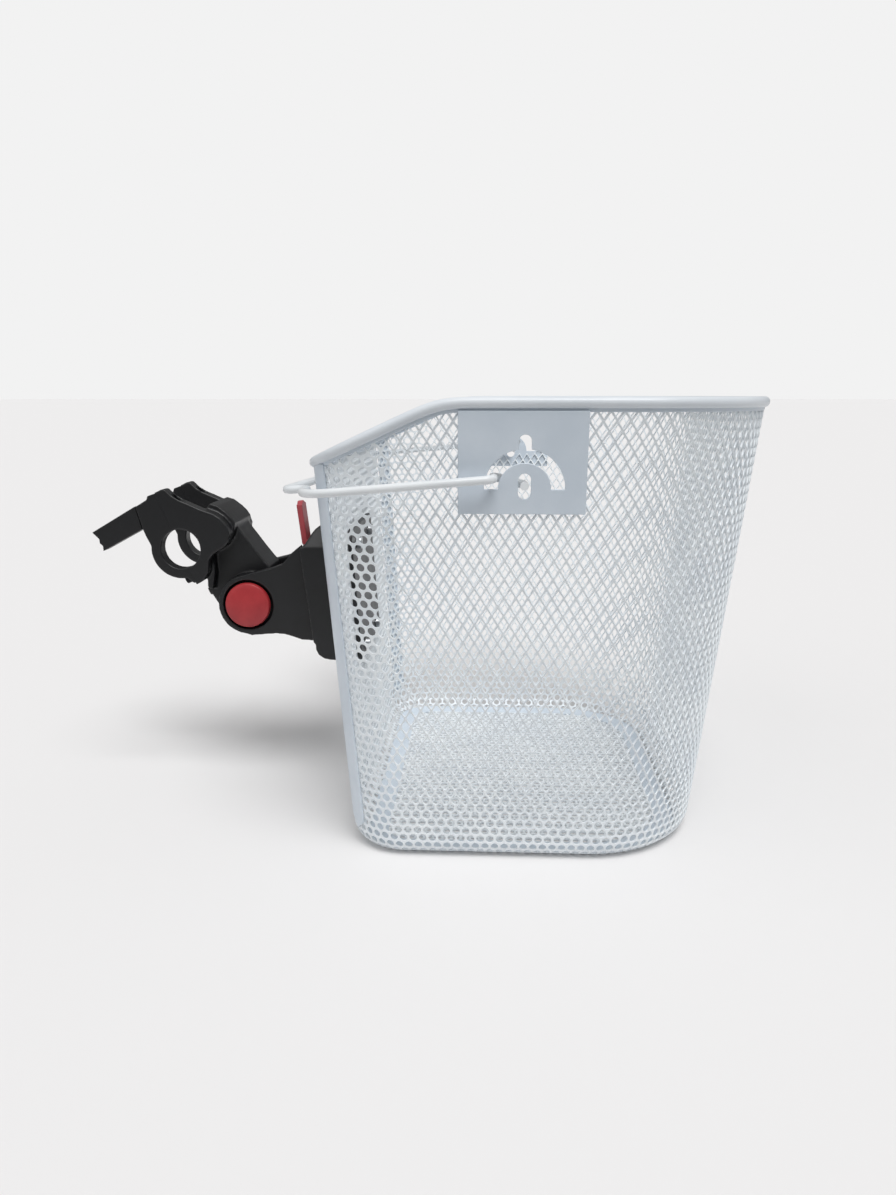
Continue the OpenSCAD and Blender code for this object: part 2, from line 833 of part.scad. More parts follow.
module bolt_upper_side(s) {
    color("#B8BABC")
        bolt_frame(bolt_upper, s * 24.5)
            translate([0, 0, -11.5])
                socket_bolt(2, 3.5, 3.2, 20.4);
}

module bolt_lower_side(s) {
    color("#B8BABC")
        bolt_frame(bolt_lower, s * 24.5)
            translate([0, 0, -3.6])
                socket_bolt(1.75, 3, 2.4, 10.6);
}

module bolt_upper_right() {
    bolt_upper_side(-1);
}

module bolt_upper_left() {
    bolt_upper_side(1);
}

module bolt_lower_right() {
    bolt_lower_side(-1);
}

module bolt_lower_left() {
    bolt_lower_side(1);
}

module hex_nut(d, y, r, hole, z0, h) {
    color("#B8BABC")
        bolt_frame(d, y)
            translate([0, 0, z0])
                difference() {
                    cylinder(r = r, h = h, $fn = 6);
                    translate([0, 0, -1])
                        cylinder(r = hole, h = h + 2);
                }
}

module nut_upper_right() {
    hex_nut(bolt_upper, -24.5, 4, 2, 5.1, 3.4);
}

module nut_upper_left() {
    hex_nut(bolt_upper, 24.5, 4, 2, 5.1, 3.4);
}

module nut_lower_right() {
    hex_nut(bolt_lower, -24.5, 3.6, 1.75, 4.3, 2.8);
}

module nut_lower_left() {
    hex_nut(bolt_lower, 24.5, 3.6, 1.75, 4.3, 2.8);
}

// Support arm that reaches back to the stem, with a notched end
module stem_brace() {
    color("#25272B")
        difference() {
            xz(-28.5, -18)
                polygon([
                    [-275.3, 167.0], [-246.3, 183.9], [-242.5, 169.3], [-268.8, 155.1],
                    [-268.9, 158.3], [-271.0, 160.2], [-270.9, 162.6], [-273.2, 165.0]
                ]);
            xz(-25.5, -17)
                polygon([
                    [-268.5, 168.0], [-249.0, 179.4], [-246.8, 171.0], [-264.5, 161.5]
                ]);
            translate([-254, -24.5, 168.6])
                rotate([0, 74.6, 0])
                    cylinder(r = 1.52, h = 14);
        }
}

module brace_screw() {
    color("#B8BABC")
        translate([-248.2, -24.5, 170.2])
            rotate([0, 74.6, 0])
                cylinder(r = 1.5, h = 9.5);
}

mesh_basket();
rim_wire();
side_plate_right();
side_plate_left();
seam_strip_right();
seam_strip_left();
receiver_block();
inner_plate();
plate_screws();
latch_pin();
latch_spring();
latch_lever();
bail_handle();
head_housing();
tilt_axle();
thrust_washer_right();
thrust_washer_left();
button_right();
button_left();
button_spring_right();
button_spring_left();
link_arm();
cap_right();
cap_left();
bolt_upper_right();
bolt_upper_left();
bolt_lower_right();
bolt_lower_left();
nut_upper_right();
nut_upper_left();
nut_lower_right();
nut_lower_left();
stem_brace();
brace_screw();
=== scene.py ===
"""Bicycle front basket of perforated steel mesh, with a bail handle and a handlebar bracket."""
import math

import bpy
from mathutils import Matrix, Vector


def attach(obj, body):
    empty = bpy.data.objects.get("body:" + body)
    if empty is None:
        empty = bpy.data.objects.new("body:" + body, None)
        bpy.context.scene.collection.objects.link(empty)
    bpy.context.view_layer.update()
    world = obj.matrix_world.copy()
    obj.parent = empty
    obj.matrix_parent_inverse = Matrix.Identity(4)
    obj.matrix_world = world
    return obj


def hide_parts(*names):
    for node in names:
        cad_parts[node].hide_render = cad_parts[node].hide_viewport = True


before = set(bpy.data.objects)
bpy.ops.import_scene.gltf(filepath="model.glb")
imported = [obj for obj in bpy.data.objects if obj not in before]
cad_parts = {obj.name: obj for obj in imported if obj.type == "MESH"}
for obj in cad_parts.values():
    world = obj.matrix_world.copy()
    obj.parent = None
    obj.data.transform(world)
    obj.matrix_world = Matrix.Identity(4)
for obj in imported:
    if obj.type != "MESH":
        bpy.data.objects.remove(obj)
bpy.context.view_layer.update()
scene = bpy.context.scene
MM = 0.001

# ---------------------------------------------------------------- camera
# The viewer stands at the basket's right side, a little above the rim.
EYE = Vector((-22, -586, 252.5)) * MM
LOOK_DOWN_DEG = 12.667
LOOK_LEFT_DEG = 2.672
LENS_MM = 27.11
camera = bpy.data.objects.new("camera", bpy.data.cameras.new("camera"))
scene.collection.objects.link(camera)
camera.location = EYE
camera.rotation_euler = (math.radians(90 - LOOK_DOWN_DEG), 0, math.radians(LOOK_LEFT_DEG))
camera.data.lens = LENS_MM
camera.data.clip_start = 0.01
scene.camera = camera

# ---------------------------------------------------------------- powder-coated steel
# The basket is mild steel with a white epoxy powder coat, baked on after welding. The coat
# has a faint orange peel of about 2 mm, a soft gloss, and runs thin over the cut edges.


def linear(code):
    """Linear RGBA of an sRGB hex colour such as 'DDE3E8'."""
    parts = [int(code[i:i + 2], 16) / 255 for i in (0, 2, 4)]
    return [c / 12.92 if c <= 0.04045 else ((c + 0.055) / 1.055) ** 2.4 for c in parts] + [1.0]


def add(owner, kind, inputs=None, **settings):
    """Adds a node to a material or world, with its settings, and its inputs as values or links."""
    tree = owner.node_tree
    node = tree.nodes.new(kind)
    for name, value in settings.items():
        setattr(node, name, value)
    for name, value in (inputs or {}).items():
        if isinstance(value, bpy.types.NodeSocket):
            tree.links.new(value, node.inputs[name])
        else:
            node.inputs[name].default_value = value
    return node


def new_material(name):
    """An empty node material with its shader, and an Object coordinate on a Mapping node."""
    material = bpy.data.materials.new(name)
    material.use_nodes = True
    shader = material.node_tree.nodes["Principled BSDF"]
    place = add(material, "ShaderNodeTexCoord").outputs["Object"]
    place = add(material, "ShaderNodeMapping", {"Vector": place}).outputs["Vector"]
    return material, shader, place


def link(material, output, shader, name):
    """Joins a node's output to one of the shader's inputs."""
    material.node_tree.links.new(output, shader.inputs[name])


def powder_coat(name, light, dark, roughness, peel_mm, patch_mm):
    """Sprayed and baked coat: two close shades in soft patches, with a 0.12 mm orange peel."""
    material, shader, place = new_material(name)
    patches = add(material, "ShaderNodeTexNoise",
                  {"Vector": place, "Scale": 1 / (patch_mm * MM), "Detail": 3.0}).outputs["Fac"]
    ramp = add(material, "ShaderNodeValToRGB", {"Fac": patches})
    ramp.color_ramp.elements[0].position, ramp.color_ramp.elements[0].color = 0.35, linear(dark)
    ramp.color_ramp.elements[1].position, ramp.color_ramp.elements[1].color = 0.65, linear(light)
    link(material, ramp.outputs["Color"], shader, "Base Color")
    gloss = add(material, "ShaderNodeMapRange",
                {"Value": patches, "To Min": roughness - 0.05, "To Max": roughness + 0.06})
    link(material, gloss.outputs["Result"], shader, "Roughness")
    peel = add(material, "ShaderNodeTexNoise",
               {"Vector": place, "Scale": 1 / (peel_mm * MM), "Detail": 1.0}).outputs["Fac"]
    bump = add(material, "ShaderNodeBump", {"Height": peel, "Strength": 0.25, "Distance": 0.00012})
    link(material, bump.outputs["Normal"], shader, "Normal")
    shader.inputs["IOR"].default_value = 1.5
    return material


white_sheet = powder_coat("powder_coated_mesh_steel", "E8EDF0", "DEE4E9",
                          roughness=0.4, peel_mm=1.6, patch_mm=30)
white_plate = powder_coat("powder_coated_plain_steel", "D2DBE4", "CAD4DE",
                          roughness=0.36, peel_mm=2.0, patch_mm=24)
white_rim = powder_coat("powder_coated_rim", "DCE1E6", "D4DAE0",
                        roughness=0.34, peel_mm=2.4, patch_mm=40)
white_wire = powder_coat("powder_coated_wire", "E6E9EB", "DDE1E4",
                         roughness=0.3, peel_mm=2.4, patch_mm=40)

# ---------------------------------------------------------------- the basket's wall surface
# The walls are one sheet, bent round and welded at the back. It flares upwards, its corners
# are round, and its rear part is cut lower, so the rim drops behind the knee.
# Each size at the floor comes with what it gains on the way up to the rim.
RIM_Z = 249.25
REAR_RIM_Z = 218.6
FRONT_X, FRONT_FLARE = 99.5, 24.1
REAR_X, REAR_FLARE = -99.0, 14.0
HALF_W, SIDE_FLARE = 127.0, 29.9
FRONT_R, FRONT_R_GAIN = 66.0, 14.0
REAR_R, REAR_R_GAIN = 32.0, 6.0
KNEE_X = -46.0
KNEE_SOFT = 4.5
DROP = (RIM_Z - REAR_RIM_Z) / (KNEE_X - (REAR_X - REAR_FLARE))
FOLD_R = 10.0
FOLD_ARC = FOLD_R * math.pi / 2
RIM_R = 2.75
SHEET_T = 1.2


def plan(z):
    """Front X, rear X, half width, front corner radius and rear corner radius at height z."""
    up, rear_up = z / RIM_Z, z / REAR_RIM_Z
    return (FRONT_X + FRONT_FLARE * up, REAR_X - REAR_FLARE * rear_up, HALF_W + SIDE_FLARE * up,
            FRONT_R + FRONT_R_GAIN * up, REAR_R + REAR_R_GAIN * rear_up)


def around(s, z, inset=0.0):
    """Point and outward normal in plan: s runs 0 to 2 from front centre, right side first."""
    front, rear, half, r_front, r_rear = plan(z)
    side = 1.0
    s = s % 2
    if s > 1:
        s, side = 2 - s, -1.0
    run_front = half - r_front
    arc_front = r_front * math.pi / 2
    run_side = front - r_front - rear - r_rear
    arc_rear = r_rear * math.pi / 2
    run_rear = half - r_rear
    d = s * (run_front + arc_front + run_side + arc_rear + run_rear)
    if d < run_front:
        x, y, nx, ny = front, -d, 1.0, 0.0
    elif d < run_front + arc_front:
        a = (d - run_front) / r_front
        nx, ny = math.cos(a), -math.sin(a)
        x, y = front - r_front + r_front * nx, -run_front + r_front * ny
    elif d < run_front + arc_front + run_side:
        x, y, nx, ny = front - r_front - (d - run_front - arc_front), -half, 0.0, -1.0
    elif d < run_front + arc_front + run_side + arc_rear:
        a = (d - run_front - arc_front - run_side) / r_rear
        nx, ny = -math.sin(a), -math.cos(a)
        x, y = rear + r_rear + r_rear * nx, -run_rear + r_rear * ny
    else:
        along = d - run_front - arc_front - run_side - arc_rear
        x, y, nx, ny = rear, along - run_rear, -1.0, 0.0
    return x - nx * inset, (y - ny * inset) * side, nx, ny * side


def rim_height(x):
    """Height of the rim wire's centre: level in front, and dropping behind the knee."""
    t = (KNEE_X - x) / KNEE_SOFT
    soft = t if t > 30 else math.log1p(math.exp(t))
    return RIM_Z - DROP * KNEE_SOFT * soft


def rim_at(s):
    """Height of the rim at s round the basket."""
    z = RIM_Z
    for _ in range(8):
        z = rim_height(around(s, z)[0])
    return z


def wall(s, w, out=0.0):
    """Point in metres at s round the basket and w mm up the sheet from the floor, out mm proud."""
    if w < FOLD_ARC:
        a = max(w, 0) / FOLD_R
        z = FOLD_R * (1 - math.cos(a))
        x, y, nx, ny = around(s, z, FOLD_R * (1 - math.sin(a)))
        return Vector((x + nx * out * math.sin(a), y + ny * out * math.sin(a),
                       z - out * math.cos(a) + SHEET_T / 2)) * MM
    z = FOLD_R + (w - FOLD_ARC)
    x, y, nx, ny = around(s, z)
    return Vector((x + nx * out, y + ny * out, z + SHEET_T / 2)) * MM


def up_sheet(z):
    """How far up the sheet from the floor, in mm, height z lies."""
    return z - FOLD_R + FOLD_ARC - SHEET_T / 2


def new_piece(name, points, faces):
    """A new mesh object from points and faces."""
    mesh = bpy.data.meshes.new(name)
    mesh.from_pydata(points, [], faces)
    piece = bpy.data.objects.new(name, mesh)
    scene.collection.objects.link(piece)
    return piece


def pick(piece):
    """Makes a piece the only one selected, and active."""
    bpy.ops.object.select_all(action="DESELECT")
    piece.select_set(True)
    bpy.context.view_layer.objects.active = piece


def edit(piece, *steps):
    """Runs edit-mode operators, each a function, on the whole of a piece."""
    pick(piece)
    bpy.ops.object.mode_set(mode="EDIT")
    for step in steps:
        bpy.ops.mesh.select_all(action="SELECT")
        step()
    bpy.ops.object.mode_set(mode="OBJECT")


def weld():
    """Merges points that lie on each other."""
    bpy.ops.mesh.remove_doubles(threshold=0.01 * MM)


def outward():
    """Turns all faces outwards."""
    bpy.ops.mesh.normals_make_consistent(inside=False)


def modify(piece, kind, **settings):
    """Adds a modifier and applies it."""
    pick(piece)
    modifier = piece.modifiers.new(kind.lower(), kind)
    for name, value in settings.items():
        setattr(modifier, name, value)
    bpy.ops.object.modifier_apply(modifier=modifier.name)


def smooth(piece, degrees=35):
    """Shades a piece smooth, apart from edges sharper than an angle."""
    pick(piece)
    bpy.ops.object.shade_smooth_by_angle(angle=math.radians(degrees))


def done(piece, material, slot, body, *nodes):
    """Gives a finished piece its material and its body, and hides the CAD nodes it stands for. The
    slot is not used.
    """
    piece.data.materials.clear()
    piece.data.materials.append(material)
    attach(piece, body)
    if nodes:
        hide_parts(*nodes)
    return piece


# ---------------------------------------------------------------- perforated walls
# The sheet is pierced in staggered rows and stretched as it is flared. Near the floor and round
# the rear corners it stays unstretched, with round holes of 4 to 5 mm. Elsewhere they open into
# diamonds, and the tool leaves strands of 0.7 to 1 mm twisted, with their outer face down.
COLUMNS = 156
QUARTER = COLUMNS // 4
ROW = 4.85
ROWS = 53
FIRST_ROW = 3.4
HEM = 1.6
HOLE_OVER_HEM = 1.5
TWIST = 0.4
STRAND_T = 0.8
RING = 12
SWING_X, SWING_Z = -5.6, 210.2


def cell_edge():
    """The cell's RING points, round a rhombus of half width 1 and half height 1."""
    corners = [(1, 0), (0, 1), (-1, 0), (0, -1)]
    each = RING // 4
    ring = []
    for a, b in zip(corners, corners[1:] + corners[:1]):
        ring += [(a[0] + (b[0] - a[0]) * k / each, a[1] + (b[1] - a[1]) * k / each)
                 for k in range(each)]
    return ring


def hole_edge(up):
    """The hole's RING points, as shares of the cell: round at up 0, a diamond at up 1."""
    n = 2.0 - 0.9 * up
    wide = 0.81 + 0.01 * up
    high = 0.45 + 0.35 * up
    ring = []
    for k in range(RING):
        turn = k * math.pi / (RING / 2)
        c, s = math.cos(turn), math.sin(turn)
        ring.append((wide * math.copysign(abs(c) ** (2 / n), c),
                     high * math.copysign(abs(s) ** (2 / n), s)))
    return ring


def cell_faces(base):
    """Faces between a cell's edge, whose points start at base, and its hole, which follows."""
    return [(base + k, base + (k + 1) % RING, base + RING + (k + 1) % RING, base + RING + k)
            for k in range(RING)]


def ease(t):
    """Eases 0 to 1 in and out, and holds outside that."""
    t = min(max(t, 0), 1)
    return t * t * (3 - 2 * t)


def stretched(x, y, w):
    """How far the sheet is stretched open, 0 to 1: none at the foot and the rear corners."""
    side = ease((x + 86) / 26)
    rear = 0.55 * ease((122 - abs(y)) / 40) if x < -90 else 0
    upwards = ease((w - 8) / 62)
    return upwards * max(side, rear)


CUT_R, CUT_LOW = 21.5, 204
NOTCH_HALF, NOTCH_LOW, NOTCH_HIGH = 5, 199, 239
SIDE_Y = 120


def behind_slots(x, y, z):
    """True behind the slots of a side plate, where the sheet is cut away."""
    from_pivot = abs(x - SWING_X)
    arc_slot = z > CUT_LOW and math.hypot(from_pivot, z - SWING_Z) < CUT_R
    notch = from_pivot < NOTCH_HALF and NOTCH_LOW < z < NOTCH_HIGH
    return abs(y) > SIDE_Y and (arc_slot or notch)


def mesh_panel(name, first, last):
    """The wall's cells in the columns first to last."""
    points, faces = [], []
    edge = cell_edge()
    for row in range(ROWS):
        w = FIRST_ROW + ROW * row
        for column in range(first, last):
            s = (column + 0.5 * (row % 2)) * 2 / COLUMNS
            x, y, z = wall(s, w) / MM
            if z > rim_at(s) - RIM_R - HEM + HOLE_OVER_HEM or behind_slots(x, y, z):
                continue
            up = stretched(x, y, w)
            base = len(points)
            points += [wall(s + a / COLUMNS, w + b * ROW) for a, b in edge]
            points += [wall(s + a / COLUMNS, w + b * ROW, -TWIST * up * b)
                       for a, b in hole_edge(up)]
            faces += cell_faces(base)
    piece = new_piece(name, points, faces)
    edit(piece, weld)
    modify(piece, "SOLIDIFY", thickness=STRAND_T * MM, offset=0, use_even_offset=False)
    edit(piece, outward)
    return done(piece, white_sheet, "white_sheet", "basket", "mesh_basket")


for quarter, name in enumerate(("mesh_front_right", "mesh_rear_right",
                                "mesh_rear_left", "mesh_front_left")):
    mesh_panel(name, quarter * QUARTER, (quarter + 1) * QUARTER)

# ---------------------------------------------------------------- perforated floor
# The floor is a second pierced sheet with round holes of about 4.2 mm. A plain band round it is
# spot-welded to the turned-in foot of the walls.
FLOOR_PITCH = 5.3
FLOOR_ROW = 4.6
ROWS_EACH_WAY, COLUMNS_EACH_WAY = 24, 26
BAND = 5.0
FLOOR_INSET = FOLD_R + BAND


def inside_floor(x, y, inset):
    """True where a point in plan lies inside the floor's outline, moved in by inset."""
    front, rear, half, r_front, r_rear = plan(0)
    x_min, x_max, y_max = rear + inset, front - inset, half - inset
    if not (x_min < x < x_max and abs(y) < y_max):
        return False
    for r, centre_x, beyond in ((r_front - inset, front - r_front, x > front - r_front),
                                (r_rear - inset, rear + r_rear, x < rear + r_rear)):
        centre_y = y_max - r
        if beyond and abs(y) > centre_y and math.hypot(x - centre_x, abs(y) - centre_y) > r:
            return False
    return True


def floor_mesh():
    """The floor's cells, as far out as the plain band."""
    points, faces = [], []
    for row in range(-ROWS_EACH_WAY, ROWS_EACH_WAY + 1):
        for column in range(-COLUMNS_EACH_WAY, COLUMNS_EACH_WAY + 1):
            x = (column + 0.5 * (row % 2)) * FLOOR_PITCH
            y = row * FLOOR_ROW
            if not inside_floor(x, y, FLOOR_INSET + 0.5):
                continue
            base = len(points)
            points += [Vector((x + a * FLOOR_PITCH / 2, y + b * FLOOR_ROW, SHEET_T / 2)) * MM
                       for a, b in cell_edge() + hole_edge(0)]
            faces += cell_faces(base)
    piece = new_piece("mesh_floor", points, faces)
    edit(piece, weld)
    modify(piece, "SOLIDIFY", thickness=(SHEET_T - 0.1) * MM, offset=0)
    edit(piece, outward)
    return done(piece, white_sheet, "white_sheet", "basket", "mesh_basket")


floor_mesh()


def sheet(piece, thickness, edge_mm):
    """Gives a surface a sheet's thickness and its rounded edges."""
    edit(piece, outward)
    modify(piece, "SOLIDIFY", thickness=thickness * MM, offset=0)
    edit(piece, outward)
    modify(piece, "BEVEL", width=edge_mm * MM, segments=2, limit_method="ANGLE")
    smooth(piece)
    return piece


def band(name, lines, thickness):
    """A sheet band between closed lines of points that run alongside each other."""
    count = len(lines[0])
    points = [p for line in lines for p in line]
    faces = [(r * count + i, r * count + (i + 1) % count,
              (r + 1) * count + (i + 1) % count, (r + 1) * count + i)
             for r in range(len(lines) - 1) for i in range(count)]
    return sheet(new_piece(name, points, faces), thickness, 0.25)


STEPS = 280
stations = [2 * i / STEPS for i in range(STEPS)]
band_lines = []
for inset in (FLOOR_INSET + 4, FLOOR_INSET - 1, FOLD_R - 0.5):
    line = []
    for s in stations:
        x, y, _, _ = around(s, 0, inset)
        line.append(Vector((x, y, SHEET_T / 2)) * MM)
    band_lines.append(line)
for w in (1.5, 3.0):
    band_lines.append([wall(s, w) for s in stations])
done(band("floor_band", band_lines, SHEET_T), white_plate, "white_sheet", "basket")

# ---------------------------------------------------------------- hem and rim wire
# Above the last holes the sheet is left plain and rolled round a 5.5 mm steel wire, which
# makes the hem and the smooth, rounded rim.
hem_lines = []
for below in (RIM_R + HEM, RIM_R + 0.3, 0.0):
    line = []
    for s in stations:
        z = rim_at(s) - below
        line.append(wall(s, up_sheet(z)))
    hem_lines.append(line)
HEM_T = SHEET_T + 0.3
done(band("hem_band", hem_lines, HEM_T), white_plate, "white_sheet", "basket")


def wire_piece(name, route, radius, closed, sides=5):
    """A round wire bent along a route of points in metres."""
    curve = bpy.data.curves.new(name, "CURVE")
    curve.dimensions = "3D"
    spline = curve.splines.new("POLY")
    spline.points.add(len(route) - 1)
    for point, place in zip(spline.points, route):
        point.co = (*place, 1)
    spline.use_cyclic_u = closed
    curve.bevel_depth = radius * MM
    curve.bevel_resolution = sides
    curve.use_fill_caps = not closed
    piece = bpy.data.objects.new(name, curve)
    scene.collection.objects.link(piece)
    pick(piece)
    bpy.ops.object.convert(target="MESH")
    edit(piece, weld, outward)
    smooth(piece, 60)
    return piece


rim_route = []
for s in stations:
    z = rim_at(s)
    x, y, _, _ = around(s, z)
    rim_route.append(Vector((x, y, z)) * MM)
rim = wire_piece("rim_wire_roll", rim_route, RIM_R, closed=True)
done(rim, white_rim, "white_wire", "basket", "rim_wire")

# ---------------------------------------------------------------- seam strips
# The ends of the wall sheet meet at the rear corners. A plain steel strip is welded over
# each joint, from the rim down to the floor, where its foot is rounded.
STRIP_W = 13.0
STRIP_T = 0.8
STRIP_PROUD = 1.05
STRIP_FOOT_Z = 12.0
STRIP_LAP = 2.0
STRIP_ROWS, STRIP_ACROSS = 44, 6
REAR_CORNER = 0.7225
HALF_ROUND, HALF_ROUND_GAIN = 410, 90


def seam_strip(name, side, *nodes):
    """A strip down the corner on one side: its centre line is at s = side * REAR_CORNER."""
    height = rim_at(side * REAR_CORNER) - STRIP_LAP - STRIP_FOOT_Z
    line = STRIP_ACROSS + 1
    points = []
    for i in range(STRIP_ROWS + 1):
        z = STRIP_FOOT_Z + height * i / STRIP_ROWS
        up = z - STRIP_FOOT_Z
        round_foot = math.sqrt(max(0.0, 1 - (1 - min(up / (STRIP_W / 2), 1)) ** 2))
        per_mm = 1 / (HALF_ROUND + HALF_ROUND_GAIN * z / RIM_Z)
        for k in range(line):
            off = (k / STRIP_ACROSS - 0.5) * STRIP_W * max(round_foot, 0.12)
            points.append(wall(side * (REAR_CORNER + off * per_mm), up_sheet(z), STRIP_PROUD))
    faces = [(i * line + k, i * line + k + 1, (i + 1) * line + k + 1, (i + 1) * line + k)
             for i in range(STRIP_ROWS) for k in range(STRIP_ACROSS)]
    strip = sheet(new_piece(name, points, faces), STRIP_T, 0.2)
    return done(strip, white_plate, "white_sheet", "basket", *nodes)


seam_strip("seam_strip_right_welded", 1, "seam_strip_right")
seam_strip("seam_strip_left_welded", -1, "seam_strip_left")

# ---------------------------------------------------------------- side plates
# Plain pressed plates close the mesh at the handle's pivots. The arc slot guides the handle's
# arm, and the small slot takes its tip. The pressed edges are slightly rounded.


def flatten():
    """Joins triangles that lie in one plane."""
    bpy.ops.mesh.dissolve_limited(angle_limit=math.radians(0.6))


def cad_copy(node, name):
    """A CAD node's skin as a new piece, with its loose triangles merged."""
    piece = new_piece(name, [], [])
    piece.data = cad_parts[node].data.copy()
    piece.data.materials.clear()
    piece.data.name = name
    edit(piece, weld, flatten)
    return piece


def pressed(node, name, material, slot, body, edge_mm, segments=2):
    """A CAD part with its sharp edges eased, as pressing, turning or forging leaves them."""
    piece = cad_copy(node, name)
    modify(piece, "BEVEL", width=edge_mm * MM, segments=segments, limit_method="ANGLE",
           angle_limit=math.radians(40), use_clamp_overlap=True)
    smooth(piece, 40)
    modify(piece, "WEIGHTED_NORMAL", keep_sharp=True, weight=100)
    return done(piece, material, slot, body, node)


for side in ("right", "left"):
    pressed(f"side_plate_{side}", f"plate_{side}_pressed", white_plate, "white_sheet", "basket",
            edge_mm=0.3)

# ---------------------------------------------------------------- bail handle
# One length of 4.2 mm spring-steel wire, coated white. Its ends turn in through the arc slots,
# step to the pivot and turn out again, so that their tips sit in the small slots.
WIRE_R = 2.1
IN_Y, TIP_Y, ARM_Y = 146.0, 155.2, 163.0
CRANK, CRANK_UP = 15.4, math.radians(14.3)
CROSS_X = SWING_X - CRANK * math.cos(CRANK_UP)
CROSS_Z = SWING_Z + CRANK * math.sin(CRANK_UP)
SLOPE = math.radians(4.9)
ARM, GRIP, SHOULDER = 94.5, 101.2, 108.5


def on_handle(d, y):
    """Point of the handle's plane: d mm down the arms, then Y."""
    return (CROSS_X - d * math.cos(SLOPE), y, CROSS_Z - d * math.sin(SLOPE))


def bend(before, at, after, radius, steps=8):
    """A round bend at a corner of the wire's route."""
    before, at, after = Vector(before), Vector(at), Vector(after)
    a, b = (before - at).normalized(), (after - at).normalized()
    half = a.angle(b) / 2
    centre = at + (a + b).normalized() * radius / math.sin(half)
    start = at + a * radius / math.tan(half) - centre
    end = at + b * radius / math.tan(half) - centre
    return [tuple(centre + start.slerp(end, k / steps) * radius) for k in range(steps + 1)]


half_corners = [(SWING_X, -TIP_Y, SWING_Z), (SWING_X, -IN_Y, SWING_Z), (CROSS_X, -IN_Y, CROSS_Z),
                (CROSS_X, -ARM_Y, CROSS_Z), on_handle(ARM, -ARM_Y), on_handle(ARM, -128),
                on_handle(SHOULDER, -126), on_handle(GRIP, -79), on_handle(GRIP, 0)]
BEND_RADII = (3.6, 3.6, 4.5, 20, 7, 6.5, 60)
half_route = [half_corners[0]]
for before, at, after, radius in zip(half_corners, half_corners[1:], half_corners[2:],
                                     BEND_RADII):
    half_route += bend(before, at, after, radius)
half_route.append(half_corners[-1])
bail_route = half_route + [(x, -y, z) for x, y, z in half_route[-2::-1]]
bail = wire_piece("bail_handle_wire", [Vector(p) * MM for p in bail_route], WIRE_R,
                  closed=False, sides=6)
done(bail, white_wire, "white_wire", "bail", "bail_handle")

# ---------------------------------------------------------------- black moulded bracket
# Glass-filled nylon, injection moulded in tools with a spark-eroded texture of about 0.4 mm.
# Every outer edge is well rounded. Handling has polished the surface in faint patches.


def moulded_black():
    """Near black, glossier where hands have rubbed it, with a grain 0.08 mm deep."""
    material, shader, place = new_material("moulded_glass_filled_nylon")
    patches = add(material, "ShaderNodeTexNoise",
                  {"Vector": place, "Scale": 1 / (14 * MM), "Detail": 4.0}).outputs["Fac"]
    ramp = add(material, "ShaderNodeValToRGB", {"Fac": patches})
    ramp.color_ramp.elements[0].position, ramp.color_ramp.elements[0].color = 0.3, linear("0B0C0E")
    ramp.color_ramp.elements[1].position, ramp.color_ramp.elements[1].color = 0.75, linear("121316")
    link(material, ramp.outputs["Color"], shader, "Base Color")
    gloss = add(material, "ShaderNodeMapRange", {"Value": patches, "To Min": 0.5, "To Max": 0.36})
    link(material, gloss.outputs["Result"], shader, "Roughness")
    grain = add(material, "ShaderNodeTexNoise",
                {"Vector": place, "Scale": 1 / (0.45 * MM), "Detail": 2.0}).outputs["Fac"]
    bump = add(material, "ShaderNodeBump", {"Height": grain, "Strength": 0.35, "Distance": 0.00008})
    link(material, bump.outputs["Normal"], shader, "Normal")
    shader.inputs["IOR"].default_value = 1.53
    return material


black_nylon = moulded_black()
SPLIT_AT = Vector((-218.5, 0, 156.8)) * MM
SPLIT_NORMAL = Vector((0.929, 0, 0.371)).normalized()
SPLIT_REACH = 1.1


def flush(piece, away):
    """Flattens a piece's face at the clamp's split, away mm from the split itself."""
    for vertex in piece.data.vertices:
        off = (vertex.co - SPLIT_AT).dot(SPLIT_NORMAL)
        if abs(off) < SPLIT_REACH * MM:
            vertex.co += SPLIT_NORMAL * (away * MM - off)


def moulded(node, name, material, slot, body, voxel, rounds, split=None):
    """A CAD part with the soft, filleted edges of an injection moulding."""
    piece = cad_copy(node, name)
    modify(piece, "REMESH", mode="VOXEL", voxel_size=voxel * MM, adaptivity=0.0)
    modify(piece, "SMOOTH", factor=0.5, iterations=rounds)
    if split is not None:
        flush(piece, split)
    modify(piece, "DECIMATE", ratio=0.5)
    smooth(piece, 60)
    return done(piece, material, slot, body, node)


moulded("receiver_block", "receiver_moulding", black_nylon, "black_plastic", "basket",
        voxel=0.75, rounds=5)
moulded("inner_plate", "inner_plate_moulding", black_nylon, "black_plastic", "basket",
        voxel=0.8, rounds=4)
moulded("head_housing", "head_moulding", black_nylon, "black_plastic", "head",
        voxel=0.6, rounds=6)
moulded("link_arm", "arm_moulding", black_nylon, "black_plastic", "clamp",
        voxel=0.6, rounds=6, split=0.0)
for side in ("right", "left"):
    moulded(f"cap_{side}", f"cap_{side}_moulding", black_nylon, "black_plastic", "clamp",
            voxel=0.45, rounds=6, split=-0.06)
moulded("stem_brace", "brace_moulding", black_nylon, "black_plastic", "clamp",
        voxel=0.4, rounds=4)
